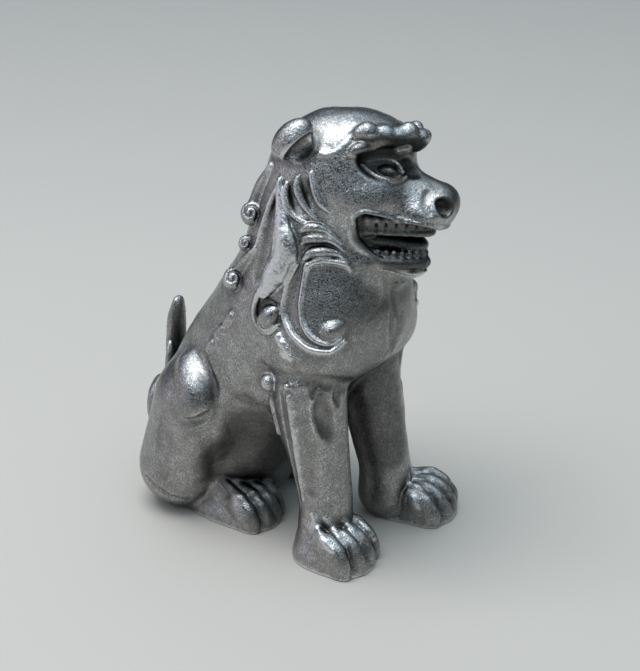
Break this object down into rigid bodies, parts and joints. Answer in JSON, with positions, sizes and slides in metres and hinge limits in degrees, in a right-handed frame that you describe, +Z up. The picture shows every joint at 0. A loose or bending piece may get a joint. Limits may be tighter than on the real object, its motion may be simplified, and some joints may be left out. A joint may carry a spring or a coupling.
{
  "type": "komainu statue",
  "caption": "Seated guardian lion-dog figure of cast metal with an open mouth, a turned head, curled mane locks and an upright plume tail, resting on its paws and seat.",
  "frame": {"origin": "under the middle of the figure's bounding box, on the surface that it stands on", "axes": "+Z up; the figure faces -Y with its own right side at -X, and its head is turned towards +X"},
  "size_m": [0.047, 0.0712, 0.096],
  "materials": {
    "cast_metal": "satin grey casting with a fine pitted skin, dark patina in the recesses and rubbed high spots",
    "pin_steel": "plain drawn steel rod"
  },
  "bodies": {
    "root": {"head": "cast_metal", "jaw_dowel": "pin_steel", "left_cheek_tuft": "cast_metal", "left_chest_curl": "cast_metal", "left_ear": "cast_metal", "left_ear_pin": "pin_steel", "left_foreleg": "cast_metal", "left_foreleg_dowel": "pin_steel", "left_hindleg": "cast_metal", "left_hindleg_dowel": "pin_steel", "left_mane_lock": "cast_metal", "left_nape_curl_1": "cast_metal", "left_nape_curl_2": "cast_metal", "left_nape_curl_3": "cast_metal", "lower_jaw": "cast_metal", "neck_dowel": "pin_steel", "right_cheek_tuft": "cast_metal", "right_chest_curl": "cast_metal", "right_ear": "cast_metal", "right_ear_pin": "pin_steel", "right_foreleg": "cast_metal", "right_foreleg_dowel": "pin_steel", "right_hindleg": "cast_metal", "right_hindleg_dowel": "pin_steel", "right_mane_lock": "cast_metal", "right_nape_curl_1": "cast_metal", "right_nape_curl_2": "cast_metal", "right_nape_curl_3": "cast_metal", "tail_dowel": "pin_steel", "tail_left_curl": "cast_metal", "tail_plume": "cast_metal", "tail_right_curl": "cast_metal", "torso": "cast_metal"}
  },
  "joints": []
}
